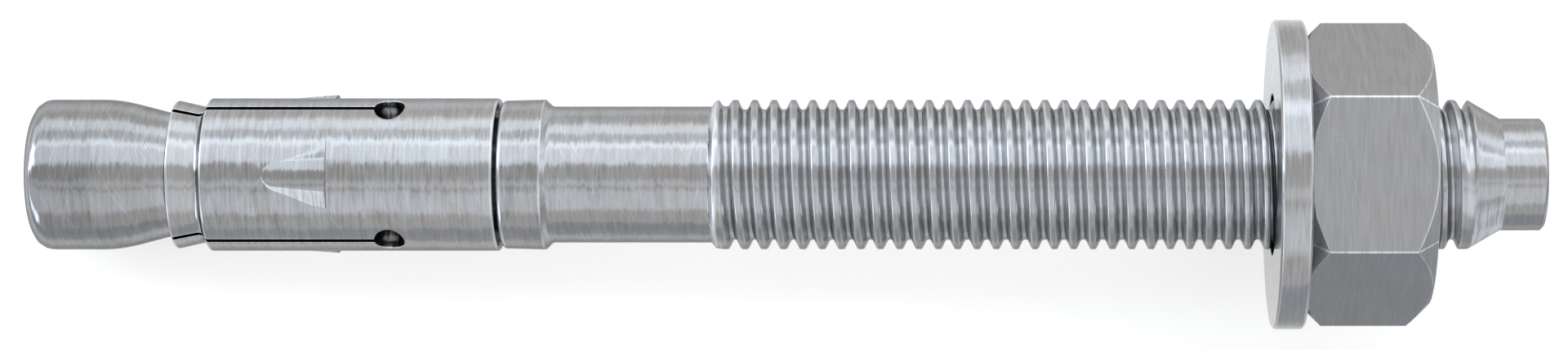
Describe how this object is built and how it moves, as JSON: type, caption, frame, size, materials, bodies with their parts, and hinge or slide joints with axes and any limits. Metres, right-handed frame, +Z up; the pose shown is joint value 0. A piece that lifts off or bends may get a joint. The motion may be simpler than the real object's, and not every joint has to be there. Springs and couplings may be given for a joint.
{
  "type": "wedge anchor",
  "caption": "Zinc-plated steel wedge anchor: a cone bolt with a slit expansion clip round its neck, and a washer and hexagon nut that screw along its thread.",
  "frame": {"origin": "centre of the washer's bearing face, on the anchor's axis", "axes": "+X runs along the anchor from its cone end to its struck end, level with the surface it lies on; +Z up from that surface. The anchor leans on its washer, so its axis climbs 3.735 degrees from +X towards +Z."},
  "size_m": [0.0976, 0.02, 0.0201],
  "materials": {
    "bolt_steel": "bright zinc plating over drawn and rolled steel",
    "clip_steel": "bright zinc plating over bent sheet steel",
    "washer_steel": "bright zinc plating over stamped steel",
    "nut_steel": "satin zinc plating over forged steel"
  },
  "bodies": {
    "bolt": {"anchor_bolt": "bolt_steel"},
    "clip": {"expansion_clip": "clip_steel"},
    "washer": {"washer": "washer_steel"},
    "nut": {"hex_nut": "nut_steel"}
  },
  "joints": [
    {"name": "clip_turn", "type": "hinge", "parent": "bolt", "child": "clip", "pos_m": [-0.06017, 0, -0.00393], "axis": [0.9979, 0, 0.0651], "continuous": true},
    {"name": "washer_slide", "type": "slide", "parent": "bolt", "child": "washer", "axis": [0.9979, 0, 0.0651], "range_m": [-0.03751, 0.01001]},
    {"name": "nut_turn", "type": "hinge", "parent": "washer", "child": "nut", "pos_m": [0, 0, 0], "axis": [0.9979, 0, 0.0651], "range_deg": [-10800, 2880]}
  ],
  "couplings": [
    {"joint": "washer_slide", "follows": "nut_turn", "m_per_rad": 0.00019894}
  ]
}
